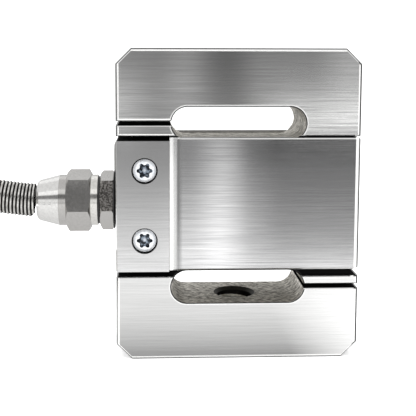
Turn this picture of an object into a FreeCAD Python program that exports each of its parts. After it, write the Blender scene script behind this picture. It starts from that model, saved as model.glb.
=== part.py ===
import FreeCAD, Part

import math
import os
import re

import Sketcher

# S type load cell, in millimetres. +Z is the load axis, X runs along the slots and -Y is the front.
# The origin is the mouth of the lower threaded hole, in the middle of the bottom face.

SIZES = {
    # spring element
    "body_width": 60.0,
    "body_height": 77.0,
    "body_depth": 19.0,
    "corner_cut": 3.8,
    "edge_bevel": 0.5,
    "slot_width": 33.0,
    "slot_height": 8.0,
    "slot_spacing": 40.6,
    "slit_gap": 1.1,
    "slit_bevel": 0.25,
    "seat_above": 0.85,
    "seat_below": 1.4,
    "web_thickness": 3.0,
    "pocket_radius": 11.0,
    "lid_radius": 13.0,
    "lid_thickness": 0.5,
    "well_offset": 10.4,
    "well_radius": 2.4,
    "thread_radius": 4.513,
    "thread_mouth": 5.3,
    "fit_gap": 0.1,
    # centre cover
    "cover_wall": 1.5,
    "cover_rise": 1.0,
    "cover_inset": 0.1,
    "cover_above": 0.6,
    "cover_short": 0.4,
    "cover_ramp": 1.8,
    "cover_round": 1.2,
    # entry block and its screws
    "block_length": 13.0,
    "block_wall": 4.0,
    "block_cheek": 3.4,
    "block_rise": 0.4,
    "block_short": 0.3,
    "screw_inset": 7.0,
    "screw_below_top": 7.3,
    "screw_above_base": 7.7,
    "shank_radius": 1.5,
    "shank_length": 6.2,
    "head_radius": 2.85,
    "head_height": 1.3,
    "head_crown": 0.35,
    "recess_depth": 1.0,
    "recess_tip": 1.95,
    "recess_waist": 1.4,
    "counterbore_gap": 0.35,
    "counterbore_depth": 1.8,
    # gland, with stations along its own axis
    "tab_thickness": 0.5,
    "tab_half_width": 6.2,
    "tab_rise": 14.8,
    "tab_corner": 1.2,
    "neck_radius": 3.9,
    "hexagon_flats": 13.2,
    "hexagon_length": 3.7,
    "seal_length": 0.6,
    "seal_radius": 6.0,
    "collar_length": 1.65,
    "collar_radius": 6.45,
    "nut_flats": 13.8,
    "nut_length": 6.15,
    "nose_length": 1.85,
    "spigot_radius": 5.2,
    "spigot_length": 5.8,
    "bush_length": 1.8,
    "socket_length": 5.6,
    "socket_mouth": 5.15,
    "socket_round": 0.6,
    "socket_depth": 5.0,
    "clamp_length": 1.4,
    "cable_radius": 2.5,
    "cable_reach": 12.0,
    # gauges and electronics
    "gauge_side": 5.0,
    "gauge_thickness": 0.2,
    "gauge_place": 4.8,
    "board_radius": 9.5,
    "board_thickness": 1.0,
    "board_height": 3.4,
    "standoff_radius": 1.1,
    "standoff_place": 7.6,
    "resistor_length": 3.2,
    "resistor_width": 1.6,
    "resistor_height": 0.7,
    "resistor_pitch": 3.4,
    "wire_radius": 0.4,
    "wire_pitch": 1.0,
    "link_width": 3.0,
    "link_thickness": 0.3,
    "link_foot": 3.0,
    # hose
    "hose_radius": 4.3,
    "coil_inner_turn": 47.0,
    "coil_outer_turn": 56.0,
    "coil_layer": 8.8,
    "tie_thickness": 1.0,
    "coil_round": 3.0,
    "tail_run": 44.0,
    "end_ring_length": 14.0,
    "end_ring_wall": 1.2,
    "lead_length": 18.0,
    "core_length": 8.0,
}

PLACES = {
    "half_width": "body_width / 2",
    "half_depth": "body_depth / 2",
    "middle": "body_height / 2",
    "flat_end": "half_width - corner_cut",
    "shoulder": "body_height - corner_cut",
    "slot_end": "slot_width / 2",
    "slot_turn": "slot_height / 2",
    "slot_straight": "slot_end - slot_turn",
    "slot_high": "middle + slot_spacing / 2",
    "slot_low": "middle - slot_spacing / 2",
    "wall_high": "slot_high - slot_turn",
    "wall_low": "slot_low + slot_turn",
    "floor_low": "slot_low - slot_turn",
    "ceiling_high": "slot_high + slot_turn",
    "slit_half": "slit_gap / 2",
    "slit_flare": "slit_half + slit_bevel",
    "slit_mouth": "half_depth - slit_bevel",
    "seat_high": "wall_high + seat_above",
    "seat_low": "wall_low - seat_below",
    "cover_right": "half_width - cover_inset",
    "cover_face": "half_depth + cover_rise",
    "cover_inner": "cover_face - cover_wall",
    "cover_back": "cover_right - cover_wall",
    "cover_low": "wall_low + cover_short",
    "cover_high": "wall_high + cover_above",
    "core_right": "cover_back - fit_gap",
    "core_half": "cover_inner - fit_gap",
    "block_end": "half_width - block_length",
    "block_face": "half_depth + block_rise",
    "block_inner": "block_face - block_cheek",
    "block_back": "half_width - block_wall",
    "block_high": "wall_high - block_short",
    "core_left": "block_back - fit_gap",
    "neck_half": "block_inner - fit_gap",
    "cover_start": "block_end - fit_gap",
    "ramp_end": "cover_start - cover_ramp",
    "web_half": "web_thickness / 2",
    "mouth_depth": "thread_mouth - thread_radius",
    "mouth_floor": "floor_low - mouth_depth",
    "mouth_ceiling": "ceiling_high + mouth_depth",
    "screw_x": "half_width - screw_inset",
    "screw_high": "block_high - screw_below_top",
    "screw_low": "wall_low + screw_above_base",
    "seat_of_head": "block_face - counterbore_depth",
    "bore_radius": "cable_radius + fit_gap",
    "hexagon_end": "tab_thickness + hexagon_length",
    "seal_end": "hexagon_end + seal_length",
    "collar_end": "seal_end + collar_length",
    "nut_end": "collar_end + nut_length",
    "nose_end": "nut_end + nose_length",
    "spigot_end": "hexagon_end + spigot_length",
    "bush_end": "spigot_end + bush_length",
    "socket_end": "nose_end + socket_length",
    "socket_seat": "socket_end - socket_depth",
    "hose_bore": "hose_radius + fit_gap",
    "clamp_end": "bush_end + clamp_length",
    "socket_lip": "socket_mouth - socket_round",
    "socket_shoulder": "socket_end - socket_round",
    "hexagon_half": "hexagon_flats / 2",
    "hexagon_corner": "hexagon_half / cos(30)",
    "hexagon_turn": "(hexagon_corner - hexagon_half) * tan(30)",
    "hexagon_bevel_start": "tab_thickness + hexagon_turn",
    "hexagon_bevel_end": "hexagon_end - hexagon_turn",
    "nut_half": "nut_flats / 2",
    "nut_corner": "nut_half / cos(30)",
    "nut_turn": "(nut_corner - nut_half) * tan(30)",
    "nut_bevel_start": "collar_end + nut_turn",
    "nut_bevel_end": "nut_end - nut_turn",
    "sink_radius": "head_radius + counterbore_gap",
    "head_flank": "head_height - head_crown",
    "head_flat": "head_radius - 2 * head_crown",
    "seat_lip_high": "seat_high + slit_bevel",
    "seat_lip_low": "seat_low - slit_bevel",
    "tab_shoulder": "tab_rise - tab_corner",
    "tab_flat": "tab_half_width - tab_corner",
    "board_back": "web_half + board_height",
    "board_face": "board_back + board_thickness",
    "link_place": "board_radius - link_thickness",
    "link_back": "web_half + gauge_thickness",
    "coil_top": "3 * coil_layer + 2 * tie_thickness",
    "coil_inside": "coil_inner_turn - coil_layer / 2 - tie_thickness",
    "coil_outside": "coil_outer_turn + coil_layer / 2 + tie_thickness",
    "coil_lowest": "coil_layer / 2 + tie_thickness",
}

HEXAGON_LEAN = 18.0  # degrees that the gland's tightened hexagons stand away from upright

NODES = []


def lead_names(text):
    """An expression in which each named size or place is led by the object that holds it."""

    def lead(found):
        word = found.group(0)
        if word in SIZES:
            return "Sizes." + word
        return "Places." + word if word in PLACES else word

    return re.sub(r"[a-z][a-z_]*", lead, text)


def tie(item, **links):
    """Binds properties of an object to expressions of the named sizes."""
    for name, text in links.items():
        item.setExpression(name, lead_names(text))
    return item


def put(item, x="0", y="0", z="0"):
    """Binds the place of an object to expressions."""
    for axis, text in (("x", x), ("y", y), ("z", z)):
        item.setExpression(".Placement.Base." + axis, lead_names(text))
    return item


def amount(name):
    """The number that a named size or place holds, with its sign."""
    bare = name.lstrip("-")
    if bare == "0":
        return 0.0
    holder = sheet if bare in SIZES else places
    return -getattr(holder, bare) if name.startswith("-") else getattr(holder, bare)


def keep(item, label):
    """Names a finished sub-part and lists it for the export."""
    item.Label = label
    NODES.append(item)
    doc.recompute()
    return item


# Sketches


def sketch_on(body, role, offset="0"):
    """A sketch on one of the body's own origin planes, moved along the plane's normal."""
    sketch = body.newObject("Sketcher::SketchObject", body.Name + "_sketch")
    plane = next(item for item in body.Origin.OriginFeatures if item.Role == role)
    sketch.AttachmentSupport = [(plane, "")]
    sketch.MapMode = "FlatFace"
    sketch.setExpression(".AttachmentOffset.Base.z", lead_names(offset))
    return sketch


def fix_point(sketch, curve, end, x, y):
    """Holds a point of a curve at a named place in the sketch."""
    for kind, axis, name in (("DistanceX", -2, x), ("DistanceY", -1, y)):
        if name == "0":
            sketch.addConstraint(Sketcher.Constraint("PointOnObject", curve, end, axis))
            continue
        number = sketch.addConstraint(Sketcher.Constraint(kind, -1, 1, curve, end, amount(name)))
        sketch.setExpression(f"Constraints[{number}]", lead_names(name))


def outline(sketch, corners):
    """A closed polygon whose corners are pairs of named places."""
    spots = [FreeCAD.Vector(amount(x), amount(y), 0) for x, y in corners]
    first = sketch.GeometryCount
    for start, end in zip(spots, spots[1:] + spots[:1]):
        sketch.addGeometry(Part.LineSegment(start, end))
    for place, (x, y) in enumerate(corners):
        before = first + (place - 1) % len(corners)
        sketch.addConstraint(Sketcher.Constraint("Coincident", before, 2, first + place, 1))
        fix_point(sketch, first + place, 1, x, y)


def circle(sketch, x, y, radius):
    """A circle at a named place."""
    centre = FreeCAD.Vector(amount(x), amount(y), 0)
    curve = sketch.addGeometry(Part.Circle(centre, FreeCAD.Vector(0, 0, 1), amount(radius)))
    fix_point(sketch, curve, 3, x, y)
    number = sketch.addConstraint(Sketcher.Constraint("Radius", curve, amount(radius)))
    sketch.setExpression(f"Constraints[{number}]", lead_names(radius))


def long_slot(sketch, half, height, radius):
    """A slot with round ends, its middle on the sketch's vertical axis."""
    reach, level, turn = amount(half), amount(height), amount(radius)
    up = FreeCAD.Vector(0, 0, 1)
    ends = []
    for side, name in ((1, half), (-1, "-" + half)):
        round_end = Part.Circle(FreeCAD.Vector(side * reach, level, 0), up, turn)
        start = -side * math.pi / 2
        curve = sketch.addGeometry(Part.ArcOfCircle(round_end, start, start + math.pi))
        fix_point(sketch, curve, 3, name, height)
        ends.append(curve)
    right, left = ends
    top = sketch.addGeometry(
        Part.LineSegment(
            FreeCAD.Vector(reach, level + turn, 0), FreeCAD.Vector(-reach, level + turn, 0)
        )
    )
    base = sketch.addGeometry(
        Part.LineSegment(
            FreeCAD.Vector(-reach, level - turn, 0), FreeCAD.Vector(reach, level - turn, 0)
        )
    )
    for one, other in ((right, top), (top, left), (left, base), (base, right)):
        sketch.addConstraint(Sketcher.Constraint("Tangent", one, 2, other, 1))
    sketch.addConstraint(Sketcher.Constraint("Equal", right, left))
    number = sketch.addConstraint(Sketcher.Constraint("Radius", right, turn))
    sketch.setExpression(f"Constraints[{number}]", lead_names(radius))


# Features


def new_body(name):
    return doc.addObject("PartDesign::Body", name)


def pad(body, sketch, length, both_ways=False):
    feature = body.newObject("PartDesign::Pad", body.Name + "_pad")
    feature.Profile = sketch
    feature.SideType = "Symmetric" if both_ways else "One side"
    return tie(feature, Length=length)


def pocket_through(body, sketch):
    """Cuts a sketch right through the body, both ways from its plane."""
    feature = body.newObject("PartDesign::Pocket", body.Name + "_through")
    feature.Profile = sketch
    feature.Type = "ThroughAll"
    feature.SideType = "Symmetric"
    return feature


def pocket(body, sketch, length, flip=False, both_ways=False):
    """Cuts against the sketch's normal, or along it when flipped."""
    feature = body.newObject("PartDesign::Pocket", body.Name + "_pocket")
    feature.Profile = sketch
    feature.Type = "Length"
    feature.SideType = "Symmetric" if both_ways else "One side"
    feature.Reversed = flip
    return tie(feature, Length=length)


def edges_where(feature, test):
    """The names of the feature's edges whose middle passes a test."""
    doc.recompute()
    found = []
    for number, edge in enumerate(feature.Shape.Edges, 1):
        if test(edge):
            found.append(f"Edge{number}")
    return found


def ease(body, kind, feature, test, size):
    """A chamfer or fillet on the edges that pass a test."""
    names = edges_where(feature, test)
    eased = body.newObject("PartDesign::" + kind, body.Name + "_" + kind.lower())
    eased.Base = (feature, names)
    return tie(eased, **{"Size" if kind == "Chamfer" else "Radius": size})


def turned(name, profile, axis="H_Axis"):
    """A body of revolution from a closed profile of (station, radius) places."""
    body = new_body(name)
    sketch = sketch_on(body, "XY_Plane")
    outline(sketch, profile)
    turn = body.newObject("PartDesign::Revolution", name + "_turn")
    turn.Profile = sketch
    turn.ReferenceAxis = (sketch, [axis])
    turn.Angle = 360
    return body


def combine(kind, name, base, tool):
    """A Part boolean of two objects."""
    result = doc.addObject("Part::" + kind, name)
    result.Base = base
    result.Tool = tool
    return result


def box(name, low, size):
    """A box from its low corner and its sides, each an expression."""
    item = doc.addObject("Part::Box", name)
    tie(item, Length=size[0], Width=size[1], Height=size[2])
    return put(item, *low)


def cylinder(name, radius, length, start, axis):
    """A cylinder from the middle of its first face, along a direction."""
    item = doc.addObject("Part::Cylinder", name)
    item.Placement.Rotation = FreeCAD.Rotation(FreeCAD.Vector(0, 0, 1), FreeCAD.Vector(*axis))
    tie(item, Radius=radius, Height=length)
    return put(item, *start)


# Spring element


def make_spring_element():
    body = new_body("Spring")

    # The S block: a cornered plate with its face edges bevelled.
    face = sketch_on(body, "XZ_Plane")
    outline(
        face,
        [
            ("-flat_end", "0"),
            ("flat_end", "0"),
            ("half_width", "corner_cut"),
            ("half_width", "shoulder"),
            ("flat_end", "body_height"),
            ("-flat_end", "body_height"),
            ("-half_width", "shoulder"),
            ("-half_width", "corner_cut"),
        ],
    )
    plate = pad(body, face, "body_depth", both_ways=True)

    def on_a_face(edge):
        across = edge.BoundBox.YMax - edge.BoundBox.YMin
        return across < 0.01 and abs(abs(edge.CenterOfMass.y) - amount("half_depth")) < 0.01

    ease(body, "Chamfer", plate, on_a_face, "edge_bevel")

    # Two long slots, right through.
    slots = sketch_on(body, "XZ_Plane")
    long_slot(slots, "slot_straight", "slot_high", "slot_turn")
    long_slot(slots, "slot_straight", "slot_low", "slot_turn")
    pocket_through(body, slots)

    # Slits from the slots to the sides, flared at both faces: the upper to the left, the lower to the right.
    for level, flip in (("slot_high", False), ("slot_low", True)):
        slit = sketch_on(body, "YZ_Plane")
        slit.setExpression(".AttachmentOffset.Base.y", lead_names(level))
        outline(
            slit,
            [
                ("-half_depth", "-slit_flare"),
                ("-slit_mouth", "-slit_half"),
                ("slit_mouth", "-slit_half"),
                ("half_depth", "-slit_flare"),
                ("half_depth", "slit_flare"),
                ("slit_mouth", "slit_half"),
                ("-slit_mouth", "slit_half"),
                ("-half_depth", "slit_flare"),
            ],
        )
        pocket(body, slit, "half_width", flip=flip)

    # The seat round the middle block, which the cover and the entry block fill.
    seat = sketch_on(body, "XY_Plane", "(seat_high + seat_low) / 2")
    outline(
        seat,
        [
            ("-body_width", "-body_width"),
            ("body_width", "-body_width"),
            ("body_width", "body_width"),
            ("-body_width", "body_width"),
        ],
    )
    outline(
        seat,
        [
            ("-core_left", "-neck_half"),
            ("-cover_start", "-neck_half"),
            ("-cover_start", "-core_half"),
            ("core_right", "-core_half"),
            ("core_right", "core_half"),
            ("-cover_start", "core_half"),
            ("-cover_start", "neck_half"),
            ("-core_left", "neck_half"),
        ],
    )
    pocket(body, seat, "seat_high - seat_low", both_ways=True)

    # The arms' edges over and under the seat are eased on both faces.
    lips = sketch_on(body, "YZ_Plane")
    for lip, level in (("seat_lip_high", "seat_high"), ("seat_lip_low", "seat_low")):
        outline(lips, [("-half_depth", lip), ("-half_depth", level), ("-slit_mouth", level)])
        outline(lips, [("half_depth", lip), ("half_depth", level), ("slit_mouth", level)])
    pocket_through(body, lips)

    # Gauge pockets from both faces, with a step for each lid, down to the thin web.
    pockets = (
        ("web_half", "pocket_radius", True),
        ("-web_half", "pocket_radius", False),
        ("core_half - lid_thickness", "lid_radius", True),
        ("lid_thickness - core_half", "lid_radius", False),
    )
    for level, radius, flip in pockets:
        round_hole = sketch_on(body, "XZ_Plane", level)
        circle(round_hole, "0", "middle", radius)
        pocket(body, round_hole, "half_depth", flip=flip)

    # The cable bore from the left end, and the well that lets the conductors reach both pockets.
    bore = sketch_on(body, "YZ_Plane", "-core_left")
    circle(bore, "0", "middle", "bore_radius")
    pocket(body, bore, "core_left - well_offset", flip=True)
    well = sketch_on(body, "XZ_Plane")
    circle(well, "-well_offset", "middle", "well_radius")
    pocket(body, well, "2 * (core_half - lid_thickness)", both_ways=True)

    # Tapped holes for the screws of the entry block, from both faces.
    for flip in (True, False):
        taps = sketch_on(body, "XZ_Plane", "neck_half" if not flip else "-neck_half")
        circle(taps, "-screw_x", "screw_high", "shank_radius")
        circle(taps, "-screw_x", "screw_low", "shank_radius")
        pocket(body, taps, "shank_length - seat_of_head + neck_half", flip=flip)

    # The two load threads, each through its arm, bored at the pitch diameter and eased at the slot.
    threads = sketch_on(body, "XZ_Plane")
    outline(
        threads,
        [
            ("0", "0"),
            ("thread_radius", "0"),
            ("thread_radius", "mouth_floor"),
            ("thread_mouth", "floor_low"),
            ("0", "floor_low"),
        ],
    )
    outline(
        threads,
        [
            ("0", "ceiling_high"),
            ("thread_mouth", "ceiling_high"),
            ("thread_radius", "mouth_ceiling"),
            ("thread_radius", "body_height"),
            ("0", "body_height"),
        ],
    )
    bored = body.newObject("PartDesign::Groove", "Spring_threads")
    bored.Profile = threads
    bored.ReferenceAxis = (threads, ["V_Axis"])
    bored.Angle = 360
    keep(body, "spring_element")


# Cover, entry block and screws


def make_centre_cover():
    body = new_body("Cover")
    plan = sketch_on(body, "XY_Plane", "cover_low")
    outline(
        plan,
        [
            ("-cover_start", "-block_face"),
            ("-ramp_end", "-cover_face"),
            ("cover_right", "-cover_face"),
            ("cover_right", "cover_face"),
            ("-ramp_end", "cover_face"),
            ("-cover_start", "block_face"),
            ("-cover_start", "cover_inner"),
            ("cover_back", "cover_inner"),
            ("cover_back", "-cover_inner"),
            ("-cover_start", "-cover_inner"),
        ],
    )
    sleeve = pad(body, plan, "cover_high - cover_low")

    def outer_corner(edge):
        tall = edge.BoundBox.ZMax - edge.BoundBox.ZMin
        return tall > 1 and edge.CenterOfMass.x > amount("cover_right") - 0.01

    rounded = ease(body, "Fillet", sleeve, outer_corner, "cover_round")

    def face_rim(edge):
        level = edge.BoundBox.ZMax - edge.BoundBox.ZMin < 0.01
        return level and abs(edge.CenterOfMass.y) > amount("cover_face") - 0.01

    ease(body, "Chamfer", rounded, face_rim, "edge_bevel")
    keep(body, "centre_cover")


def make_entry_block():
    body = new_body("Block")
    plan = sketch_on(body, "XY_Plane", "wall_low")
    outline(
        plan,
        [
            ("-half_width", "-block_face"),
            ("-block_end", "-block_face"),
            ("-block_end", "-block_inner"),
            ("-block_back", "-block_inner"),
            ("-block_back", "block_inner"),
            ("-block_end", "block_inner"),
            ("-block_end", "block_face"),
            ("-half_width", "block_face"),
        ],
    )
    cheeks = pad(body, plan, "block_high - wall_low")

    def left_rim(edge):
        return edge.CenterOfMass.x < 0.01 - amount("half_width")

    ease(body, "Chamfer", cheeks, left_rim, "slit_bevel")

    # Through holes for the screws, counterbored from both faces, and the hole for the gland's neck.
    holes = sketch_on(body, "XZ_Plane")
    circle(holes, "-screw_x", "screw_high", "shank_radius")
    circle(holes, "-screw_x", "screw_low", "shank_radius")
    pocket_through(body, holes)
    for level, flip in (("seat_of_head", True), ("-seat_of_head", False)):
        sink = sketch_on(body, "XZ_Plane", level)
        circle(sink, "-screw_x", "screw_high", "sink_radius")
        circle(sink, "-screw_x", "screw_low", "sink_radius")
        pocket(body, sink, "block_cheek", flip=flip)
    neck = sketch_on(body, "YZ_Plane", "-half_width")
    circle(neck, "0", "middle", "neck_radius")
    pocket(body, neck, "block_wall", flip=True)
    keep(body, "entry_block")


def lobe_prism():
    """The six-lobed socket of a screw head, with arcs through its tips and its waists."""
    tip, waist = amount("recess_tip"), amount("recess_waist")
    between = (tip + waist) / 2

    def spot(radius, degrees):
        turn = math.radians(degrees)
        return FreeCAD.Vector(radius * math.cos(turn), radius * math.sin(turn), 0)

    arcs = []
    for lobe in range(6):
        at = 60 * lobe
        arcs.append(Part.Arc(spot(between, at - 15), spot(tip, at), spot(between, at + 15)))
        arcs.append(Part.Arc(spot(between, at + 15), spot(waist, at + 30), spot(between, at + 45)))
    rim = Part.Wire([arc.toShape() for arc in arcs])
    return Part.Face(rim).extrude(FreeCAD.Vector(0, 0, 2 * amount("recess_depth")))


def make_screws():
    """Pan head screws with lobe sockets: local Z points out of the head."""
    for side, flip in (("front", 1), ("back", -1)):
        for level in ("high", "low"):
            name = f"Screw_{side}_{level}"
            body = turned(
                name,
                [
                    ("0", "-shank_length"),
                    ("shank_radius", "-shank_length"),
                    ("shank_radius", "0"),
                    ("head_radius", "0"),
                    ("head_radius", "head_flank"),
                    ("head_flat", "head_height"),
                    ("0", "head_height"),
                ],
                "V_Axis",
            )
            # The profile's vertical axis becomes local Z.
            body.Placement.Rotation = FreeCAD.Rotation(FreeCAD.Vector(1, 0, 0), 90)
            socket = doc.addObject("Part::Feature", name + "_socket")
            socket.Shape = lobe_prism()
            socket.Placement.Base.z = amount("head_height") - amount("recess_depth")
            screw = combine("Cut", name + "_cut", body, socket)
            screw.Placement.Rotation = FreeCAD.Rotation(FreeCAD.Vector(1, 0, 0), 90 * flip)
            reach = "-seat_of_head" if flip == 1 else "seat_of_head"
            put(screw, "-screw_x", reach, "screw_" + level)
            keep(screw, f"entry_screw_{side}_{'upper' if level == 'high' else 'lower'}")


# Gland, all pieces on one axis: stations run outwards from the entry block's left face


def on_gland_axis(item):
    """Turns a piece so that its local X runs out of the left side, on the gland's axis."""
    item.Placement.Rotation = FreeCAD.Rotation(FreeCAD.Vector(0, 0, 1), 180)
    return put(item, "-half_width", "0", "middle")


def ring_profile(start, end, inner, outer):
    return [(start, inner), (end, inner), (end, outer), (start, outer)]


def hexagon(name, start, end, flats, corner, bevel_start, bevel_end):
    """A hexagon along local X, its front flat leaning up, with its corners turned off at 30 degrees."""
    prism = doc.addObject("Part::Prism", name + "_prism")
    prism.Polygon = 6
    along = FreeCAD.Rotation(FreeCAD.Vector(0, 1, 0), 90)
    prism.Placement.Rotation = FreeCAD.Rotation(FreeCAD.Vector(1, 0, 0), HEXAGON_LEAN) * along
    tie(prism, Circumradius=corner, Height=f"{end} - {start}")
    put(prism, start)
    barrel = turned(
        name + "_barrel",
        [
            (start, "0"),
            (start, flats),
            (bevel_start, corner),
            (bevel_end, corner),
            (end, flats),
            (end, "0"),
        ],
    )
    return combine("Common", name, prism, barrel)


def make_gland():
    tab = new_body("Tab")
    upright = sketch_on(tab, "YZ_Plane")
    outline(
        upright,
        [
            ("-tab_half_width", "0"),
            ("tab_half_width", "0"),
            ("tab_half_width", "tab_shoulder"),
            ("tab_flat", "tab_rise"),
            ("-tab_flat", "tab_rise"),
            ("-tab_half_width", "tab_shoulder"),
        ],
    )
    pad(tab, upright, "tab_thickness")
    foot = sketch_on(tab, "YZ_Plane")
    circle(foot, "0", "0", "tab_half_width")
    pad(tab, foot, "tab_thickness")
    hole = sketch_on(tab, "YZ_Plane")
    circle(hole, "0", "0", "neck_radius")
    pocket(tab, hole, "tab_thickness", flip=True)
    keep(on_gland_axis(tab), "entry_tab")

    hexed = hexagon(
        "Gland_hexagon",
        "tab_thickness",
        "hexagon_end",
        "hexagon_half",
        "hexagon_corner",
        "hexagon_bevel_start",
        "hexagon_bevel_end",
    )
    spine = turned(
        "Gland_spine",
        [
            ("-block_wall", "0"),
            ("-block_wall", "neck_radius"),
            ("tab_thickness", "neck_radius"),
            ("hexagon_end", "spigot_radius"),
            ("spigot_end", "spigot_radius"),
            ("spigot_end", "0"),
        ],
    )
    solid = combine("Fuse", "Gland_solid", hexed, spine)
    hole = cylinder("Gland_hole", "bore_radius", "block_wall + spigot_end", ("-block_wall",), (1, 0, 0))
    keep(on_gland_axis(combine("Cut", "Gland", solid, hole)), "gland_body")

    seal = turned("Seal", ring_profile("hexagon_end", "seal_end", "spigot_radius", "seal_radius"))
    keep(on_gland_axis(seal), "gland_seal_ring")
    collar = turned("Collar", ring_profile("seal_end", "collar_end", "spigot_radius", "collar_radius"))
    keep(on_gland_axis(collar), "gland_collar")

    hexed = hexagon(
        "Nut_hexagon",
        "collar_end",
        "nut_end",
        "nut_half",
        "nut_corner",
        "nut_bevel_start",
        "nut_bevel_end",
    )
    nose = turned("Nut_nose", ring_profile("nut_end", "nose_end", "0", "collar_radius"))
    solid = combine("Fuse", "Nut_solid", hexed, nose)
    hole = cylinder("Nut_hole", "spigot_radius", "nose_end - collar_end", ("collar_end",), (1, 0, 0))
    keep(on_gland_axis(combine("Cut", "Nut", solid, hole)), "gland_nut")

    bush = turned("Bush", ring_profile("spigot_end", "bush_end", "bore_radius", "spigot_radius"))
    keep(on_gland_axis(bush), "gland_bush")
    clamp = turned("Clamp", ring_profile("bush_end", "clamp_end", "bore_radius", "spigot_radius"))
    keep(on_gland_axis(clamp), "gland_clamp_ring")
    socket = turned(
        "Socket",
        [
            ("clamp_end", "bore_radius"),
            ("socket_seat", "bore_radius"),
            ("socket_seat", "hose_bore"),
            ("socket_end", "hose_bore"),
            ("socket_end", "socket_lip"),
            ("socket_shoulder", "socket_mouth"),
            ("nose_end", "collar_radius"),
            ("nose_end", "spigot_radius"),
            ("clamp_end", "spigot_radius"),
        ],
    )
    keep(on_gland_axis(socket), "hose_socket")

    cable = turned("Cable", ring_profile("-cable_reach", "socket_seat", "0", "cable_radius"))
    keep(on_gland_axis(cable), "lead_cable")


# Gauges and electronics, inside the pockets


def make_gauged_web():
    for side, face in (("front", -1), ("back", 1)):
        for end, way in (("left", "-"), ("right", "")):
            gauge = doc.addObject("Part::Prism", f"Gauge_{side}_{end}")
            gauge.Polygon = 4
            gauge.Placement.Rotation = FreeCAD.Rotation(
                FreeCAD.Vector(0, 0, 1), FreeCAD.Vector(0, face, 0)
            )
            tie(gauge, Circumradius="gauge_side / sqrt(2)", Height="gauge_thickness")
            put(gauge, way + "gauge_place", "-web_half" if face < 0 else "web_half", "middle")
            keep(gauge, f"strain_gauge_{side}_{end}")
        seat = "lid_thickness - core_half" if face < 0 else "core_half - lid_thickness"
        lid = cylinder(
            "Lid_" + side, "lid_radius - fit_gap / 2", "lid_thickness", ("0", seat, "middle"), (0, face, 0)
        )
        keep(lid, f"pocket_lid_{side}")


def make_board():
    board = cylinder(
        "Board", "board_radius", "board_thickness", ("0", "-board_back", "middle"), (0, -1, 0)
    )
    keep(board, "terminal_board")
    for number, degrees in enumerate((90, 210, 330), 1):
        x = f"standoff_place * cos({degrees})"
        z = f"middle + standoff_place * sin({degrees})"
        post = cylinder(
            f"Standoff_{number}", "standoff_radius", "board_height", (x, "-web_half", z), (0, -1, 0)
        )
        keep(post, f"board_standoff_{number}")
    for number in range(4):
        low = (
            f"({number} - 1.5) * resistor_pitch - resistor_width / 2",
            "-board_face - resistor_height",
            "middle - resistor_length / 2",
        )
        size = ("resistor_width", "resistor_height", "resistor_length")
        keep(box(f"Resistor_{number + 1}", low, size), f"trim_resistor_{number + 1}")
    upright = box(
        "Link_upright",
        ("-link_place - link_thickness", "-board_back", "middle - link_width / 2"),
        ("link_thickness", "board_back + link_back", "link_width"),
    )
    foot = box(
        "Link_foot",
        ("-link_place - link_thickness", "link_back", "middle - link_width / 2"),
        ("link_foot + link_thickness", "link_thickness", "link_width"),
    )
    keep(combine("Fuse", "Link", upright, foot), "gauge_link")


# Runs and bends of wires and hose


def bend_at(before, corner, after, radius=None):
    """The arc that joins two runs at a corner, as (start, middle, end, radius).

    Without a radius the arc takes 0.45 of the shorter run from each side."""
    inward = (before - corner).normalize()
    outward = (after - corner).normalize()
    half_turn = (math.pi - inward.getAngle(outward)) / 2
    if radius is None:
        radius = 0.45 * min(before.distanceToPoint(corner), after.distanceToPoint(corner))
        radius = radius / math.tan(half_turn)
    setback = radius * math.tan(half_turn)
    centre = corner + (inward + outward).normalize() * (radius / math.cos(half_turn))
    middle = centre + (corner - centre).normalize() * radius
    return corner + inward * setback, middle, corner + outward * setback, radius


def route_edges(points, radius=None):
    """Straight runs joined by tangent arcs, and the arcs' radii."""
    edges, radii = [], []
    here = points[0]
    for before, corner, after in zip(points, points[1:], points[2:]):
        start, middle, end, used = bend_at(before, corner, after, radius)
        edges.append(Part.LineSegment(here, start).toShape())
        edges.append(Part.Arc(start, middle, end).toShape())
        radii.append(used)
        here = end
    edges.append(Part.LineSegment(here, points[-1]).toShape())
    return edges, radii


def round_tube(edges, thickness):
    """A round solid along a path of edges, with its volume compared with section times length."""
    path = Part.Wire(edges)
    start = edges[0].firstVertex().Point
    along = edges[0].tangentAt(edges[0].FirstParameter)
    section = Part.Wire([Part.Circle(start, along, thickness).toShape()])
    tube = path.makePipeShell([section], True, False)
    expected = math.pi * thickness**2 * path.Length
    if abs(tube.Volume - expected) > 0.01 * expected:
        raise ValueError(f"a tube of {path.Length:.1f} mm has the wrong volume")
    return tube


def computed(label, shape):
    item = doc.addObject("Part::Feature", label)
    item.Shape = shape
    return keep(item, label)


def make_conductors():
    """Four conductors from the end of the cable, through the well, on to the board."""
    cable_end = amount("cable_reach") - amount("half_width")
    column = -amount("well_offset") - 2 * amount("wire_radius")
    above = -amount("board_face") - amount("wire_radius")
    landing = -2 * amount("resistor_pitch")
    for number in range(4):
        level = amount("middle") + (number - 1.5) * amount("wire_pitch")
        stops = [
            FreeCAD.Vector(cable_end, 0, level),
            FreeCAD.Vector(column, 0, level),
            FreeCAD.Vector(column, above, level),
            FreeCAD.Vector(landing, above, level),
        ]
        edges, _ = route_edges(stops, 3 * amount("wire_radius"))
        computed(f"conductor_{number + 1}", round_tube(edges, amount("wire_radius")))


# The armoured lead: out of the socket, over and down on to a tied coil of three layers, two turns wide

HOSE_ROUTE = (
    (-52.5, 0.0, 38.5),
    (-64.5, 0.0, 40.2),
    (-76.4, 0.0, 39.1),
    (-88.0, 0.0, 35.4),
    (-98.6, 0.0, 29.4),
    (-109.6, 0.0, 25.2),
    (-121.3, 0.0, 23.0),
)
FREE_RUNS = 4
TAIL_RISE = 1.0


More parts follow.
